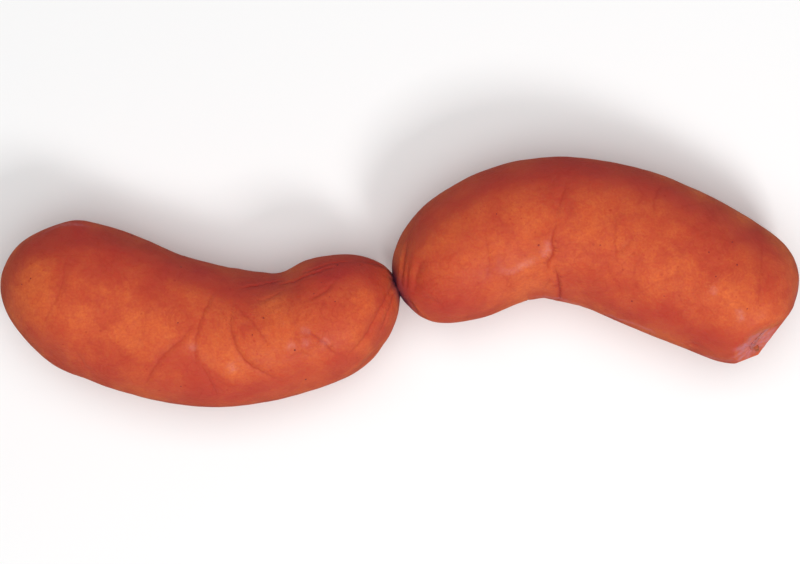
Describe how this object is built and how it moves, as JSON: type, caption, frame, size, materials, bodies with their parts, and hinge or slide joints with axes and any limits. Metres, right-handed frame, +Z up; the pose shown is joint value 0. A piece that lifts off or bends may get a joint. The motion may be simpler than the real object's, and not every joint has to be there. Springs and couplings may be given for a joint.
{
  "type": "string of sausage links",
  "caption": "Short, thick cooked sausage links in one natural casing, twisted to a neck between them and lying flat in an S.",
  "frame": {"origin": "middle of the string's bounding box, on the plane that it rests on", "axes": "+X along the string towards the link that arches, +Y towards the side that this link arches to, +Z up from the table"},
  "size_m": [0.208, 0.0652, 0.0357],
  "materials": {
    "sausage_skin": "smooth, moist natural casing over orange-red meat, half-glossy"
  },
  "bodies": {
    "root": {"sausage_string": "sausage_skin"}
  },
  "joints": []
}
